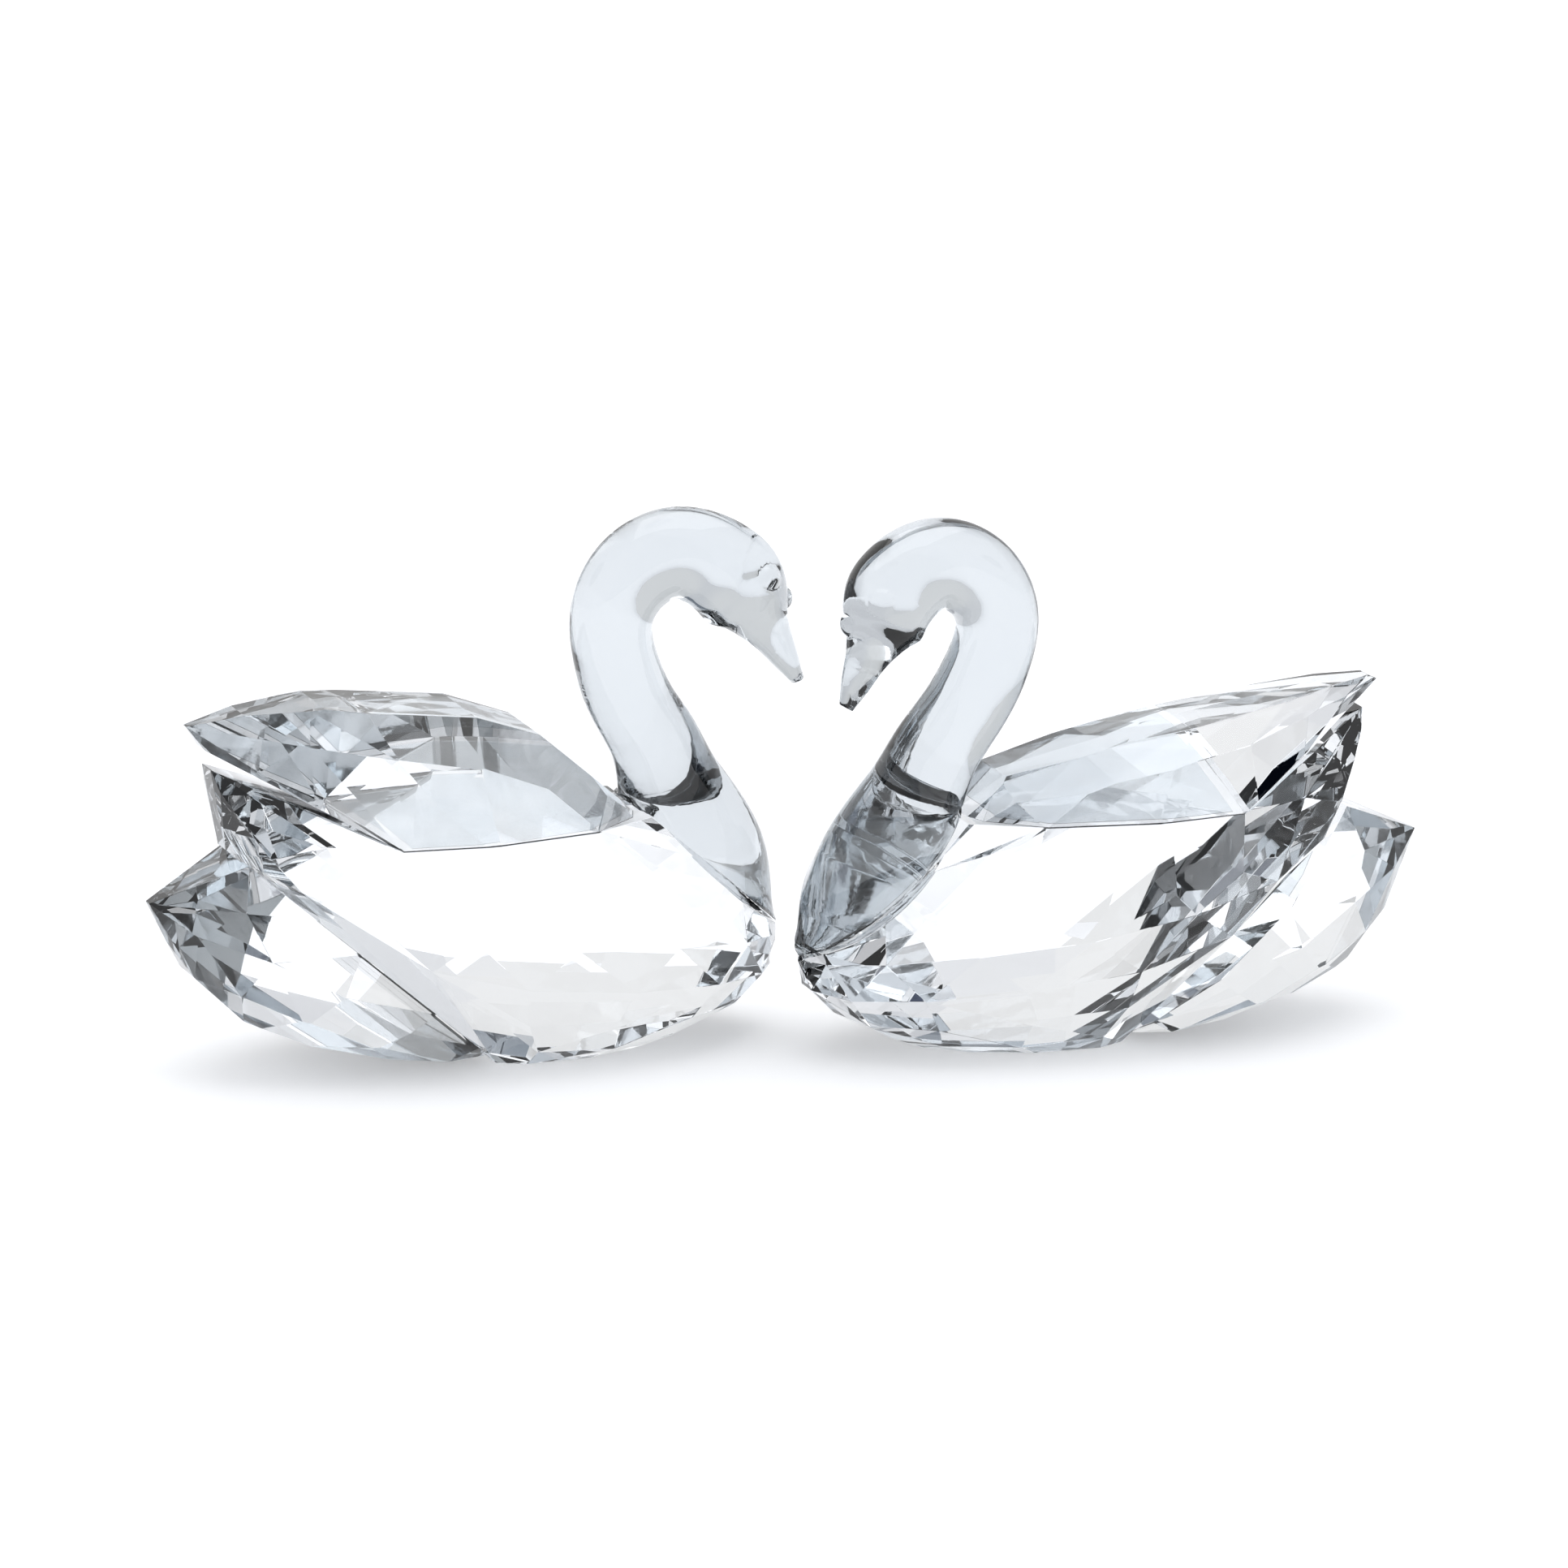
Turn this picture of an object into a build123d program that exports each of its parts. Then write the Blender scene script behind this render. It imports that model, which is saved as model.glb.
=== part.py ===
from build123d import *
import math
import os
from itertools import combinations

# Pair of cut-crystal swans, facing each other.  Millimetres, +Z up.
# Each swan is drawn in its own frame: x forward to the breast, y to its bowed side,
# z up from the table, x = 0 near the middle of the resting facet.

# ---- driving dimensions -------------------------------------------------------
bond_gap = 0.10  # thickness of a cured adhesive film
film_inset = 0.9  # how far a film stops short of the crystal's rim
facet_merge_deg = 3.0  # neighbouring facets closer than this are cut as one
blank_size = 160.0  # side of the rough block every stone is cut from

seam_height = 20.0  # flat bond between wings and body
seam_rear_x = -14.4  # where the wings start to lift off the body
feather_lift_slope = 0.440  # top of the body's rear feather, rise per mm

tail_bond_top = (-26.0, 18.2)  # x, z of the tail bond plane at the notch
tail_bond_foot = (-5.5, 0.4)  # x, z of the tail bond plane at the foot

neck_bond_back = (7.3, 21.0)  # x, z of the sloping neck bond at the back
neck_bond_front = (21.9, 8.2)  # x, z of the sloping neck bond at the breast
neck_foot_half_length = 9.3
neck_foot_half_width = 6.9
wing_neck_clearance = 0.35
body_rear_reach = 45.0  # how far the cutting wedges run past the stones

left_place = (0.0, 0.0)  # where the left swan's own origin stands
right_place = (41.4, -11.0)  # where the right swan's own origin stands
centre_shift = (-20.7, 5.5)  # moves the pair to the middle of its own box

# Corner points (x, y, z) of one half of each stone; the other half is mirrored.
body_corners = [
    # girdle, from the breast to the rear
    (21.7, 0.0, 8.0), (20.4, 3.4, 8.3), (16.5, 7.4, 8.9), (9.4, 10.8, 9.8),
    (0.0, 12.7, 10.8), (-9.0, 12.9, 12.4), (-17.0, 11.0, 14.2), (-22.5, 7.6, 16.6),
    # flank between the girdle and the wings
    (13.4, 8.5, 12.9), (6.4, 10.9, 12.6), (-7.4, 12.5, 14.1), (-13.6, 11.7, 15.4),
    (20.2, 2.4, 13.0), (15.5, 6.6, 15.2), (8.6, 5.6, 20.0), (2.9, 9.0, 20.0),
    (-7.3, 10.7, 20.0), (-14.4, 9.9, 20.2),
    # rear feather
    (-20.5, 8.2, 20.4), (-24.8, 5.9, 19.4), (-26.6, 4.0, 22.2), (-27.9, 2.3, 24.4),
    (-28.4, 1.2, 26.2), (-27.0, 1.0, 18.9),
    # lower rows
    (20.9, 1.3, 5.6), (18.7, 4.9, 5.4), (13.5, 8.9, 5.9), (5.4, 11.6, 6.6),
    (-4.4, 12.4, 7.8), (-12.6, 11.8, 10.0),
    (18.5, 0.0, 3.2), (16.6, 3.7, 2.7), (11.7, 7.2, 2.8), (4.4, 9.9, 3.3), (-3.8, 10.7, 4.3),
    (13.8, 1.6, 0.9), (10.6, 4.9, 0.8), (4.6, 7.8, 0.9), (-2.4, 8.6, 1.4),
    (11.2, 1.9, 0.0), (8.0, 4.6, 0.0), (3.0, 6.6, 0.0), (-2.6, 6.9, 0.0), (-5.0, 5.6, 0.0),
]
tail_corners = [
    # tip and upper edge
    (-33.6, 0.5, 14.9), (-32.0, 1.4, 13.4), (-29.6, 2.5, 16.2), (-26.0, 4.0, 18.2),
    (-26.8, 6.0, 14.8), (-21.4, 8.2, 14.2), (-18.4, 10.6, 11.6), (-12.0, 11.0, 6.0),
    (-7.2, 7.6, 1.9),
    # widest row
    (-30.4, 4.0, 12.6), (-25.2, 8.0, 10.9), (-19.6, 10.2, 8.0), (-14.0, 10.0, 4.4),
    # under side
    (-32.0, 0.0, 11.4), (-30.2, 2.2, 8.6), (-27.2, 5.5, 7.6), (-22.6, 7.7, 5.6), (-16.8, 8.3, 3.0),
    (-26.4, 3.4, 4.9), (-21.0, 4.6, 2.6), (-14.4, 5.6, 1.1), (-9.4, 6.2, 0.6), (-6.0, 5.2, 0.6),
]
left_wing_corners = [
    (8.2, 2.2, 20.0), (5.0, 3.0, 24.0), (1.6, 4.1, 26.7), (-6.3, 4.6, 29.5),
    (-15.8, 4.4, 30.6), (-20.4, 3.4, 30.9), (-25.6, 1.9, 30.6), (-30.2, 0.4, 29.7),
    (4.6, 6.2, 22.2), (-1.2, 8.2, 23.8), (-7.2, 8.4, 26.0), (-14.2, 7.8, 27.2),
    (-11.0, 9.6, 23.2), (-21.0, 5.4, 28.3), (-18.0, 7.6, 24.6), (-26.8, 2.2, 29.0),
    (7.2, 5.2, 20.0), (2.9, 9.0, 20.0), (-7.3, 10.7, 20.0), (-14.4, 9.9, 20.0),
    (-21.0, 6.6, 23.53), (-28.8, 1.1, 27.70),
]
right_wing_corners = [
    (8.2, 2.2, 20.0), (4.9, 3.0, 23.0), (-2.4, 4.2, 24.6), (-11.5, 4.6, 26.2),
    (-20.5, 3.6, 27.6), (-25.4, 2.2, 28.4), (-29.0, 0.9, 28.7), (-30.0, 0.4, 28.2),
    (4.6, 6.2, 21.6), (-1.2, 8.2, 22.4), (-8.6, 8.6, 23.9), (-15.8, 7.6, 25.2),
    (-22.0, 5.0, 26.6), (-26.4, 2.8, 27.6),
    (7.2, 5.2, 20.0), (2.9, 9.0, 20.0), (-7.3, 10.7, 20.0), (-14.4, 9.9, 20.0),
    (-21.0, 6.6, 23.53), (-28.8, 1.1, 27.70),
]

# Neck, head and bill: sections (x, y, z, half length, half width, lean forward in degrees).
neck_sections = [
    (13.8, 0.5, 18.8, 6.7, 5.6, 21.5),
    (11.5, 1.3, 22.9, 4.3, 4.1, -8.0),
    (10.2, 1.9, 25.6, 3.8, 3.8, -20.0),
    (8.2, 2.6, 28.8, 3.6, 3.6, -27.0),
    (6.1, 3.7, 33.6, 3.5, 3.5, -17.0),
    (5.7, 4.3, 37.4, 3.5, 3.5, 11.0),
    (7.4, 4.5, 40.6, 3.7, 3.7, 46.0),
    (11.0, 4.8, 42.2, 3.9, 3.8, 86.0),
    (14.6, 5.7, 41.0, 4.1, 3.8, 120.0),
    (16.7, 6.6, 38.7, 3.8, 3.6, 141.0),
    (17.9, 7.3, 36.4, 2.3, 2.4, 151.0),
    (18.9, 7.8, 34.6, 1.5, 1.9, 151.0),
    (19.8, 8.2, 32.9, 1.0, 1.5, 151.0),
    (20.5, 8.5, 31.6, 0.6, 0.9, 151.0),
]
knob_radius = 1.2
brow_spread = 2.3
brow_radius = 1.5
knob_centre = (19.3, 7.2, 38.3)
brow_centre = (17.4, 6.4, 40.3)

# Outline of the tail film: (distance down the bond plane from the notch, half width).
tail_film_outline = [(1.5, 3.6), (6.5, 8.2), (10.5, 10.2), (18.5, 10.6), (24.0, 7.4), (26.2, 4.6)]
wing_film_outline = [(6.6, 5.0), (2.9, 9.0), (-7.3, 10.7), (-14.4, 9.9)]


# ---- helpers --------------------------------------------------------------------
def mirrored(corners):
    return corners + [(x, -y, z) for x, y, z in corners if y > 0]


def facet_planes(corners):
    # Every plane through three corners that has all the other corners behind it.
    points = [Vector(*corner) for corner in mirrored(corners)]
    normals = []
    for a, b, c in combinations(points, 3):
        normal = (b - a).cross(c - a)
        if normal.length < 1e-6:
            continue
        normal = normal.normalized()
        sides = [(point - a).dot(normal) for point in points]
        if max(sides) > 1e-6 and min(sides) < -1e-6:
            continue
        if max(sides) > 1e-6:
            normal = normal * -1
        if all(normal.dot(kept) < math.cos(math.radians(facet_merge_deg)) for kept in normals):
            normals.append(normal)
    reaches = [max(point.dot(normal) for point in points) for normal in normals]
    return [Plane(origin=normal * reach, z_dir=normal) for normal, reach in zip(normals, reaches)]


def sloping_plane(back, front, lift):
    # A plane across the whole bird through two side-view points, raised by lift.
    run = front[0] - back[0]
    rise = front[1] - back[1]
    length = math.hypot(run, rise)
    up = Vector(-rise / length, 0, run / length)
    middle = Vector((back[0] + front[0]) / 2, 0, (back[1] + front[1]) / 2)
    return Plane(origin=middle + up * lift, x_dir=(run / length, 0, rise / length), z_dir=up)


def cut_stone(corners):
    Box(blank_size, blank_size, blank_size)
    for facet in facet_planes(corners):
        split(bisect_by=facet, keep=Keep.BOTTOM)


def band(outline):
    # A closed symmetric outline from (along, half width) pairs.
    opposite = [(along, -half) for along, half in reversed(outline)]
    return Polyline(*outline, *opposite, close=True)


def placed(solid, side):
    # Both birds share one shape; the right one is turned round to face the left one
    # and bows its neck to the same side of the pair.
    if side == "left":
        turned = mirror(solid, about=Plane.XZ)
        spot = left_place
    else:
        turned = Rotation(0, 0, 180) * solid
        spot = right_place
    return Location((spot[0] + centre_shift[0], spot[1] + centre_shift[1], 0)) * turned


# ---- pieces of one swan -----------------------------------------------------------
def body_crystal():
    with BuildPart() as body:
        cut_stone(body_corners)
        split(bisect_by=sloping_plane(neck_bond_back, neck_bond_front, 0), keep=Keep.BOTTOM)
        split(
            bisect_by=sloping_plane(tail_bond_top, tail_bond_foot, bond_gap / 2),
            keep=Keep.TOP,
        )
        with BuildSketch(Plane.XZ):
            with BuildLine():
                seat = seam_height - bond_gap
                rear = seam_rear_x - body_rear_reach
                Polyline(
                    (body_rear_reach, seat),
                    (seam_rear_x, seat),
                    (rear, seat + feather_lift_slope * body_rear_reach),
                    (rear, blank_size),
                    (body_rear_reach, blank_size),
                    close=True,
                )
            make_face()
        extrude(amount=blank_size, both=True, mode=Mode.SUBTRACT)
    return body.part


def wing_crystal(corners):
    with BuildPart() as wings:
        cut_stone(corners)
        front = sloping_plane(neck_bond_back, neck_bond_front, -wing_neck_clearance)
        split(bisect_by=front, keep=Keep.BOTTOM)
    return wings.part


def tail_crystal():
    with BuildPart() as tail:
        cut_stone(tail_corners)
        split(
            bisect_by=sloping_plane(tail_bond_top, tail_bond_foot, -bond_gap / 2),
            keep=Keep.BOTTOM,
        )
    return tail.part


def neck_glass():
    foot = sloping_plane(neck_bond_back, neck_bond_front, bond_gap)
    stages = [(foot, neck_foot_half_length, neck_foot_half_width)]
    for x, y, z, half_length, half_width, lean in neck_sections:
        angle = math.radians(lean)
        across = (math.cos(angle), 0, -math.sin(angle))
        along = (math.sin(angle), 0, math.cos(angle))
        stage = Plane(origin=(x, y, z), x_dir=across, z_dir=along)
        stages.append((stage, half_length, half_width))
    with BuildPart() as neck:
        with BuildLine() as centre_line:
            Spline(*[stage.origin for stage, _, _ in stages])
        for stage, half_length, half_width in stages:
            with BuildSketch(stage):
                Ellipse(half_length, half_width)
        sweep(path=centre_line.wire(), multisection=True)
        with Locations(knob_centre):
            Sphere(knob_radius)
        brow_x, brow_y, brow_z = brow_centre
        with Locations(
            (brow_x, brow_y - brow_spread, brow_z),
            (brow_x, brow_y + brow_spread, brow_z),
        ):
            Sphere(brow_radius)
    return neck.part


def neck_film():
    with BuildPart() as film:
        with BuildSketch(sloping_plane(neck_bond_back, neck_bond_front, 0)):
            Ellipse(neck_foot_half_length - film_inset, neck_foot_half_width - film_inset)
        extrude(amount=bond_gap)
    return film.part


def wing_film():
    with BuildPart() as film:
        with BuildSketch(Plane.XY.offset(seam_height - bond_gap)):
            with BuildLine():
                band(wing_film_outline)
            make_face()
            offset(amount=-film_inset, kind=Kind.INTERSECTION, mode=Mode.REPLACE)
        extrude(amount=bond_gap)
    return film.part


def tail_film():
    bond = sloping_plane(tail_bond_top, tail_bond_foot, -bond_gap / 2)
    notch = bond.to_local_coords(Vector(tail_bond_top[0], 0, tail_bond_top[1])).X
    with BuildPart() as film:
        with BuildSketch(bond):
            with BuildLine():
                band([(notch + down, half) for down, half in tail_film_outline])
            make_face()
            offset(amount=-film_inset, kind=Kind.INTERSECTION, mode=Mode.REPLACE)
        extrude(amount=bond_gap)
    return film.part


# ---- the pair -----------------------------------------------------------------------
os.makedirs("parts", exist_ok=True)
shared_pieces = {
    "neck": neck_glass(),
    "body": body_crystal(),
    "tail": tail_crystal(),
    "neck_adhesive": neck_film(),
    "wing_adhesive": wing_film(),
    "tail_adhesive": tail_film(),
}
wing_corner_lists = {"left": left_wing_corners, "right": right_wing_corners}
for side, wing_corners in wing_corner_lists.items():
    pieces = {
        **shared_pieces,
        "wings": wing_crystal(wing_corners),
    }
    for piece, solid in pieces.items():
        name = f"{side}_swan_{piece}"
        finished = placed(solid, side)
        finished.label = name
        export_step(finished, f"parts/{name}.step")
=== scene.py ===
import math

import bmesh
import bpy
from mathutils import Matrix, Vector


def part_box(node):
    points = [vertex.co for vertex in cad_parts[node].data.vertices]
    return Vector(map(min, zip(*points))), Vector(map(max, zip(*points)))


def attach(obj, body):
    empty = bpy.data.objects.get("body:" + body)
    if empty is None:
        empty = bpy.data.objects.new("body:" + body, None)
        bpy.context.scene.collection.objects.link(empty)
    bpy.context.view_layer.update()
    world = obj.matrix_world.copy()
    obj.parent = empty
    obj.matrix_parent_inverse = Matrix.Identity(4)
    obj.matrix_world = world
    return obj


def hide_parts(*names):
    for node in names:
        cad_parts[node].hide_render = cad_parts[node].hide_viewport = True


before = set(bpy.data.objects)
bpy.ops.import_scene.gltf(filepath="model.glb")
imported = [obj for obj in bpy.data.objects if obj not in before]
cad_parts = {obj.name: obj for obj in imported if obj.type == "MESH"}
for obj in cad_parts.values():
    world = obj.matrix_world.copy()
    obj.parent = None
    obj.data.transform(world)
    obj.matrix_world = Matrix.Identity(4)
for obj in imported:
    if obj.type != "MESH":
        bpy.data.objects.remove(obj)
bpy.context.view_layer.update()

mm = 0.001
mixLow, mixHigh = 6, 7  # colour inputs of the mix node
mixColour = 2  # its colour output


# sRGB hex to linear RGBA.
def toLinear(hexColour):
    channels = [int(hexColour[i:i + 2], 16) / 255 for i in (1, 3, 5)]
    linear = [c / 12.92 if c <= 0.04045 else ((c + 0.055) / 1.055) ** 2.4 for c in channels]
    return (*linear, 1.0)


# One node with its settings, and links given as input name: (node, output name).
def addNode(tree, kind, settings=None, links=None):
    node = tree.nodes.new(kind)
    for name, value in (settings or {}).items():
        if isinstance(name, int) or name in node.inputs:
            node.inputs[name].default_value = value
        else:
            setattr(node, name, value)
    for name, (source, output) in (links or {}).items():
        tree.links.new(source.outputs[output], node.inputs[name])
    return node


def emptyMaterial(name):
    material = bpy.data.materials.new(name)
    material.use_nodes = True
    material.node_tree.nodes.clear()
    return material, material.node_tree


# ---- crystal and glass -------------------------------------------------------

crystalLook = {
    "tintLow": "#F5F7F9",  # faint cool cast of thick crystal
    "tintHigh": "#FCFDFE",
    "tintScale": 60.0,
    "roughLow": 0.0,
    "roughHigh": 0.012,
    "polishScale": 900.0,  # polishing marks, about 1 mm apart
    "ior": 1.54,
}

drawnLook = {
    "tintLow": "#D0D5D9",
    "tintHigh": "#D9DDE0",
    "tintScale": 45.0,
    "roughLow": 0.0,
    "roughHigh": 0.01,
    "polishScale": 300.0,
    "ior": 1.52,
}

adhesiveLook = {
    "tintLow": "#E9EFF3",
    "tintHigh": "#F7FAFC",
    "tintScale": 200.0,
    "roughLow": 0.02,
    "roughHigh": 0.12,
    "polishScale": 2500.0,
    "ior": 1.50,
}


# Clear glass whose tint and polish drift slightly over the surface.
def clearGlass(name, look):
    material, tree = emptyMaterial(name)
    place = addNode(tree, "ShaderNodeTexCoord")
    drift = addNode(
        tree, "ShaderNodeTexNoise",
        {"Scale": look["tintScale"], "Detail": 2.0},
        {"Vector": (place, "Object")},
    )
    tint = addNode(tree, "ShaderNodeMix", {"data_type": "RGBA"})
    tint.inputs[mixLow].default_value = toLinear(look["tintLow"])
    tint.inputs[mixHigh].default_value = toLinear(look["tintHigh"])
    tree.links.new(drift.outputs["Fac"], tint.inputs[0])
    marks = addNode(
        tree, "ShaderNodeTexNoise",
        {"Scale": look["polishScale"], "Detail": 3.0},
        {"Vector": (place, "Object")},
    )
    polish = addNode(
        tree, "ShaderNodeMapRange",
        {"From Min": 0.45, "From Max": 0.75, "To Min": look["roughLow"], "To Max": look["roughHigh"]},
        {"Value": (marks, "Fac")},
    )
    shader = addNode(
        tree, "ShaderNodeBsdfPrincipled",
        {"Transmission Weight": 1.0, "IOR": look["ior"]},
        {"Roughness": (polish, "Result")},
    )
    tree.links.new(tint.outputs[mixColour], shader.inputs["Base Color"])
    addNode(tree, "ShaderNodeOutputMaterial", links={"Surface": (shader, "BSDF")})
    return material


# Gives the sparkle: hard facets that bend the studio into light and dark patches.
crystalMaterial = clearGlass("leadFreeCutCrystal", crystalLook)
# Gives the soft streaks along the round necks.
drawnMaterial = clearGlass("firePolishedDrawnGlass", drawnLook)
# Gives the thin bright line where two pieces meet.
adhesiveMaterial = clearGlass("curedClearAdhesive", adhesiveLook)

bondLook = {
    "overlap": 0.06 * mm,  # how far a bonded face reaches past the middle of its film
    "reach": 0.12 * mm,  # faces this near the film's middle belong to the bond
    "facetAngle": 0.6,  # degrees; flatter triangle edges are dissolved
    "edgeWidth": 0.05 * mm,  # polished arris on every facet edge
    "arrisAngle": 4.0,  # degrees; edges sharper than this are eased
    "smoothAngle": 50.0,  # degrees; neck edges sharper than this stay sharp
    "weld": 0.001 * mm,
}


# Middle point and normal of a film node's widest face pair.
def bondPlane(filmName):
    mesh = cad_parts[filmName].data
    widest = max(mesh.polygons, key=lambda p: p.area)
    normal = widest.normal.copy()
    heights = [v.co.dot(normal) for v in mesh.vertices]
    return normal, (min(heights) + max(heights)) / 2


# Moves the faces of a piece that lie on a bond to just past the middle of its film.
def closeBonds(shape, films):
    for film in films:
        normal, level = bondPlane(film)
        middle = sum((v.co.dot(normal) for v in shape.verts), 0.0) / len(shape.verts)
        outward = 1.0 if middle < level else -1.0
        for vert in shape.verts:
            height = vert.co.dot(normal) - level
            if abs(height) < bondLook["reach"]:
                vert.co += normal * (outward * bondLook["overlap"] - height)
                vert.co.z = max(vert.co.z, 0.0)


# Copies a CAD node's shape into a new piece with its bonds closed.
def bondedPiece(nodeName, suffix, films, material, wholeFacets):
    shape = bmesh.new()
    shape.from_mesh(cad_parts[nodeName].data)
    bmesh.ops.remove_doubles(shape, verts=shape.verts, dist=bondLook["weld"])
    closeBonds(shape, films)
    if wholeFacets:
        bmesh.ops.dissolve_limit(
            shape,
            angle_limit=math.radians(bondLook["facetAngle"]),
            verts=shape.verts,
            edges=shape.edges,
        )
    mesh = bpy.data.meshes.new(nodeName + suffix)
    shape.to_mesh(mesh)
    shape.free()
    mesh.materials.append(material)
    piece = bpy.data.objects.new(nodeName + suffix, mesh)
    bpy.context.scene.collection.objects.link(piece)
    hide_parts(nodeName)
    return piece


# A cut stone: whole flat facets with every arris eased.
def facetedPiece(nodeName, films):
    piece = bondedPiece(nodeName, "_cut", films, crystalMaterial, True)
    arris = piece.modifiers.new("arris", "BEVEL")
    arris.width = bondLook["edgeWidth"]
    arris.segments = 1
    arris.limit_method = "ANGLE"
    arris.angle_limit = math.radians(bondLook["arrisAngle"])
    return piece


# A drawn neck: smooth all over, sharp only round the foot where it is bonded.
def drawnPiece(nodeName, films):
    piece = bondedPiece(nodeName, "_drawn", films, drawnMaterial, False)
    piece.data.shade_smooth()
    piece.data.set_sharp_from_angle(angle=math.radians(bondLook["smoothAngle"]))
    return piece


for side in ("left", "right"):
    body = side + "_swan"
    stem = body + "_"
    joined = {
        "body": ["neck_adhesive", "wing_adhesive", "tail_adhesive"],
        "wings": ["wing_adhesive"],
        "tail": ["tail_adhesive"],
    }
    for piece, films in joined.items():
        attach(facetedPiece(stem + piece, [stem + film for film in films]), body)
    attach(drawnPiece(stem + "neck", [stem + "neck_adhesive"]), body)
    for node in ("neck_adhesive", "wing_adhesive", "tail_adhesive"):
        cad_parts[stem + node].data.materials.clear()
        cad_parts[stem + node].data.materials.append(adhesiveMaterial)
print("crystals built")


# ---- floor --------------------------------------------------------------------

floorLook = {
    "half": 3.0,
    "drop": 0.02 * mm,  # keeps the floor clear of the resting faces
    "fibreScale": 400.0,
    "specular": 0.1,
    "colourLow": "#F4F5F7",
    "colourHigh": "#FAFAFB",
    "rough": 0.9,
    "glow": 0.3,  # lit from beneath like a studio table
}


def paleFloor(look):
    mesh = bpy.data.meshes.new("pale_floor")
    half = look["half"]
    corners = [(-half, -half), (half, -half), (half, half), (-half, half)]
    mesh.from_pydata([(x, y, -look["drop"]) for x, y in corners], [], [range(len(corners))])
    floor = bpy.data.objects.new("pale_floor", mesh)
    bpy.context.scene.collection.objects.link(floor)
    material, tree = emptyMaterial("matteWhitePaper")
    place = addNode(tree, "ShaderNodeTexCoord")
    fibre = addNode(
        tree, "ShaderNodeTexNoise",
        {"Scale": look["fibreScale"], "Detail": 2.0},
        {"Vector": (place, "Object")},
    )
    tone = addNode(tree, "ShaderNodeMix", {"data_type": "RGBA"})
    tone.inputs[mixLow].default_value = toLinear(look["colourLow"])
    tone.inputs[mixHigh].default_value = toLinear(look["colourHigh"])
    tree.links.new(fibre.outputs["Fac"], tone.inputs[0])
    shader = addNode(
        tree, "ShaderNodeBsdfPrincipled",
        {
            "Roughness": look["rough"],
            "Specular IOR Level": look["specular"],
            "Emission Strength": look["glow"],
        },
    )
    tree.links.new(tone.outputs[mixColour], shader.inputs["Base Color"])
    addNode(tree, "ShaderNodeOutputMaterial", links={"Surface": (shader, "BSDF")})
    mesh.materials.append(material)
    return floor


paleFloor(floorLook)


# ---- camera -------------------------------------------------------------------

cameraLook = {
    "azimuth": -19.4,
    "elevation": 14.0,
    "distance": 1.1,
    "fieldWidth": 0.1323,  # what the square frame takes in at the swans
    "lookRight": 0.62 * mm,
    "lookUp": 12.06 * mm,
    "breastLevel": 8 * mm,  # height of the point it is aimed from
    "sensor": 36.0,
    "clipNear": 0.05,
    "clipFar": 20.0,
}


def frameTheSwans(look):
    a = math.radians(look["azimuth"])
    e = math.radians(look["elevation"])
    forward = Vector((-math.sin(a) * math.cos(e), math.cos(a) * math.cos(e), -math.sin(e)))
    right = Vector((math.cos(a), math.sin(a), 0))
    up = right.cross(forward)
    leftLow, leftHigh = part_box("left_swan_body")
    breast = Vector((leftHigh[0], (leftLow[1] + leftHigh[1]) / 2, look["breastLevel"]))
    target = breast + right * look["lookRight"] + up * look["lookUp"]
    camera = bpy.data.objects.new("camera", bpy.data.cameras.new("camera"))
    camera.location = target - forward * look["distance"]
    camera.rotation_mode = "QUATERNION"
    camera.rotation_quaternion = forward.to_track_quat("-Z", "Y")
    camera.data.sensor_width = look["sensor"]
    camera.data.lens = look["sensor"] * look["distance"] / look["fieldWidth"]
    camera.data.clip_start = look["clipNear"]
    camera.data.clip_end = look["clipFar"]
    bpy.context.scene.collection.objects.link(camera)
    bpy.context.scene.camera = camera


frameTheSwans(cameraLook)


# ---- light --------------------------------------------------------------------

# Panels of the studio by direction: azimuth (0 is the far side, 90 is +X), elevation,
# half width in degrees, softness in degrees, colour.
studioLook = {
    "base": "#F3F4F7",
    "baseStrength": 0.9,
    "backdrop": "#FFFFFF",
    "backdropStrength": 1.06,
    "panels": [
        (180, 10, 34, 22, "#D8DDE3"),
        (0, 30, 30, 12, "#FFFFFF"),
        (60, 40, 10, 3, "#66717F"),
        (-70, 25, 8, 3, "#3C4758"),
        (-20, 75, 8, 4, "#A9B2BC"),
        (120, 20, 6, 2, "#34405A"),
    ],
}


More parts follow.
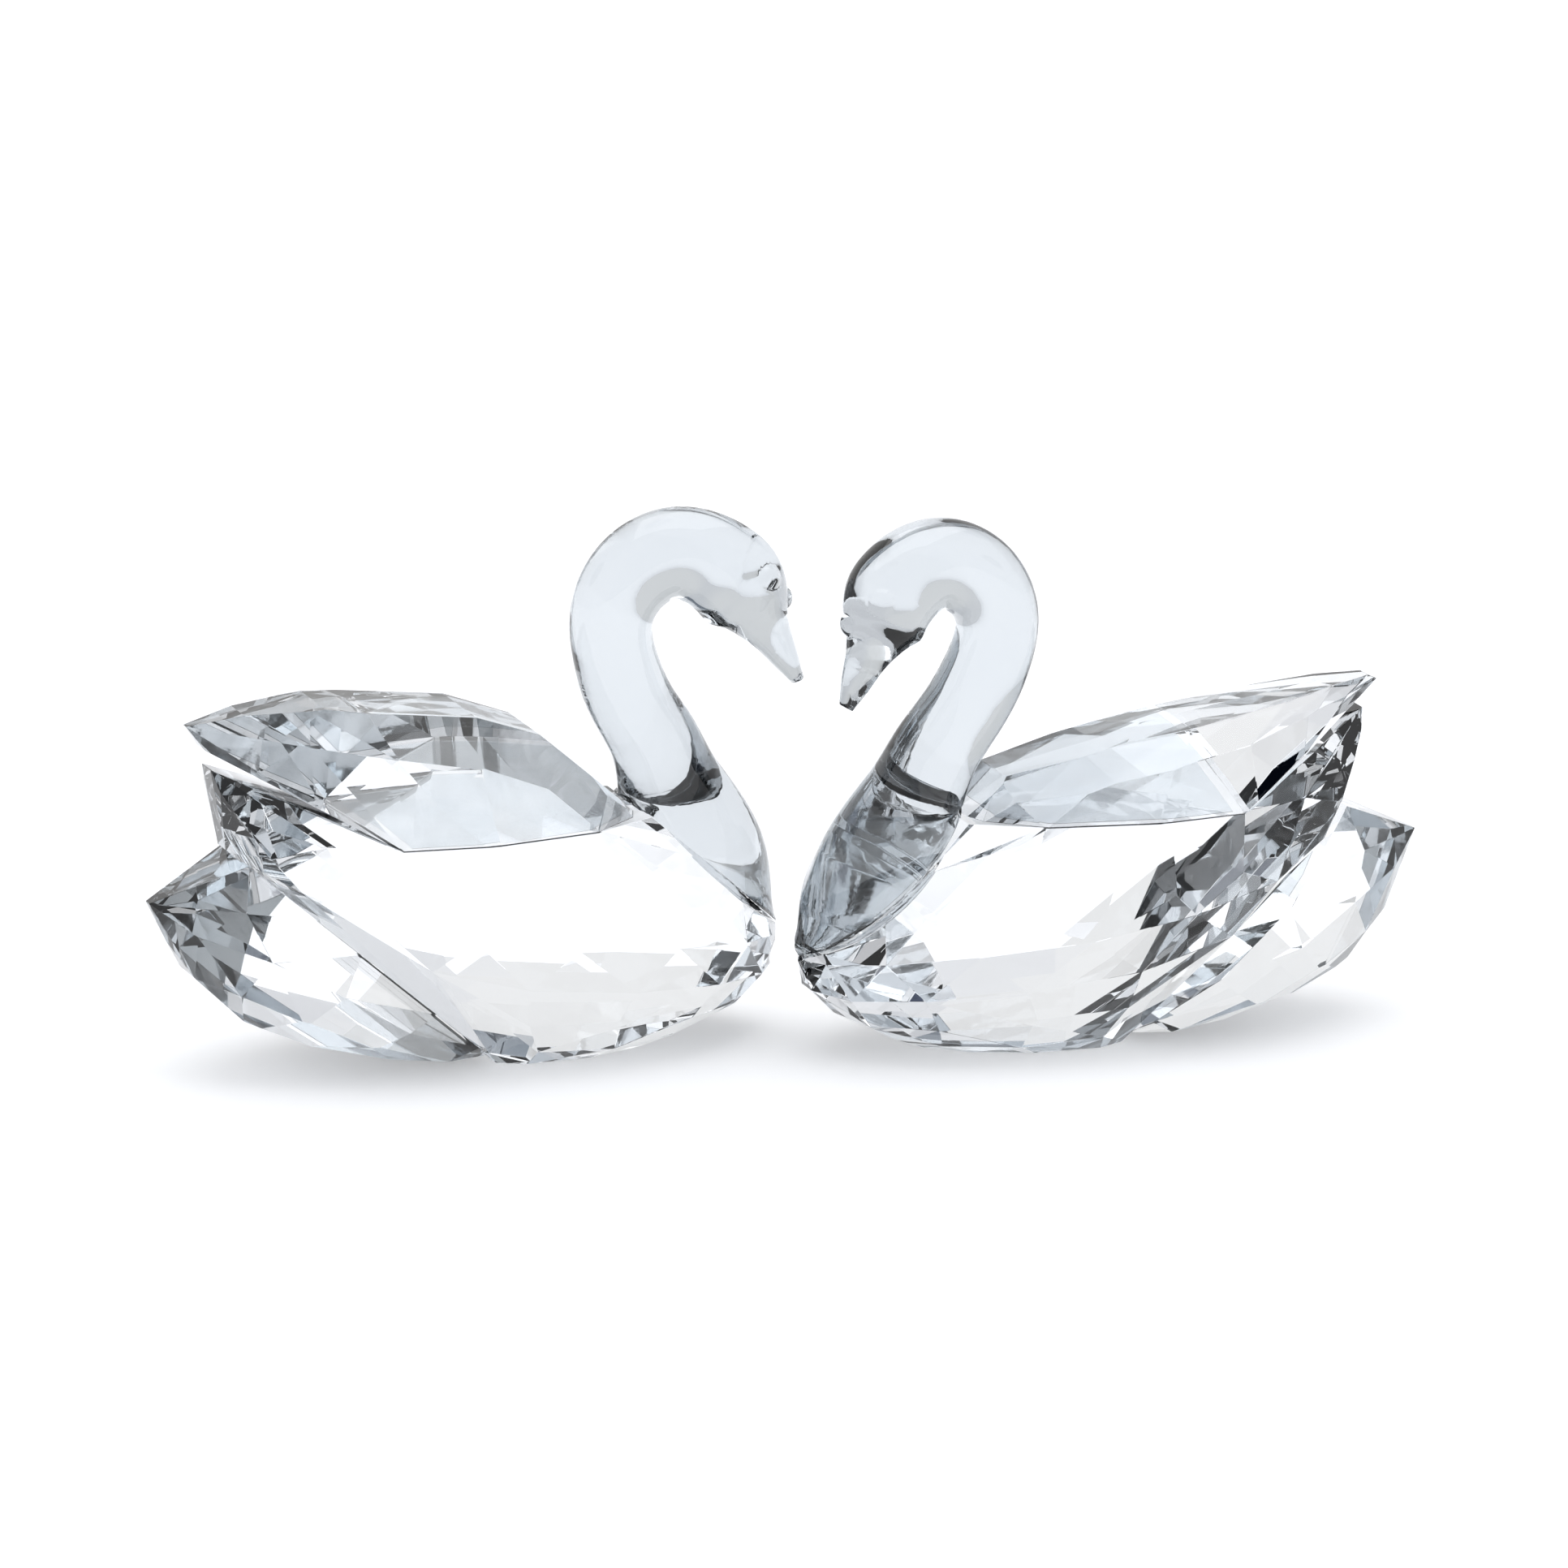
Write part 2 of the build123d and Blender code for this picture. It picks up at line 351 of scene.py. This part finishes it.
def studioWorld(look):
    world = bpy.data.worlds.new("studio")
    world.use_nodes = True
    tree = world.node_tree
    tree.nodes.clear()
    place = addNode(tree, "ShaderNodeTexCoord")
    colour = addNode(tree, "ShaderNodeRGB")
    colour.outputs[0].default_value = toLinear(look["base"])
    current = colour.outputs[0]
    for azimuth, elevation, half, soft, shade in look["panels"]:
        a, e = math.radians(azimuth), math.radians(elevation)
        towards = (math.sin(a) * math.cos(e), math.cos(a) * math.cos(e), math.sin(e))
        facing = addNode(
            tree, "ShaderNodeVectorMath",
            {"operation": "DOT_PRODUCT"},
            {0: (place, "Generated")},
        )
        facing.inputs[1].default_value = towards
        edge = addNode(
            tree, "ShaderNodeMapRange",
            {
                "interpolation_type": "SMOOTHSTEP",
                "From Min": math.cos(math.radians(half + soft)),
                "From Max": math.cos(math.radians(half)),
            },
            {"Value": (facing, "Value")},
        )
        mix = addNode(tree, "ShaderNodeMix", {"data_type": "RGBA"})
        tree.links.new(edge.outputs["Result"], mix.inputs[0])
        tree.links.new(current, mix.inputs[mixLow])
        mix.inputs[mixHigh].default_value = toLinear(shade)
        current = mix.outputs[mixColour]
    studio = addNode(tree, "ShaderNodeBackground", {"Strength": look["baseStrength"]})
    tree.links.new(current, studio.inputs["Color"])
    plain = addNode(
        tree, "ShaderNodeBackground",
        {"Color": toLinear(look["backdrop"]), "Strength": look["backdropStrength"]},
    )
    seen = addNode(tree, "ShaderNodeLightPath")
    both = addNode(
        tree, "ShaderNodeMixShader",
        links={0: (seen, "Is Camera Ray"), 1: (studio, "Background"), 2: (plain, "Background")},
    )
    addNode(tree, "ShaderNodeOutputWorld", links={"Surface": (both, "Shader")})
    bpy.context.scene.world = world


studioWorld(studioLook)

overheadLook = {
    "place": (0.1, 0.2, 0.9),
    "size": 0.9,
    "power": 2.7,
    "colour": "#FFFFFF",
}


# One soft square light aimed at the middle of the pair.
def softBox(name, look):
    light = bpy.data.objects.new(name, bpy.data.lights.new(name, "AREA"))
    light.data.shape = "SQUARE"
    light.data.size = look["size"]
    light.data.energy = look["power"]
    light.data.color = toLinear(look["colour"])[:3]
    light.location = look["place"]
    light.rotation_mode = "QUATERNION"
    light.rotation_quaternion = (-Vector(look["place"])).to_track_quat("-Z", "Y")
    bpy.context.scene.collection.objects.link(light)


softBox("overhead", overheadLook)
bpy.context.scene.view_settings.view_transform = "Standard"
print("studio set")
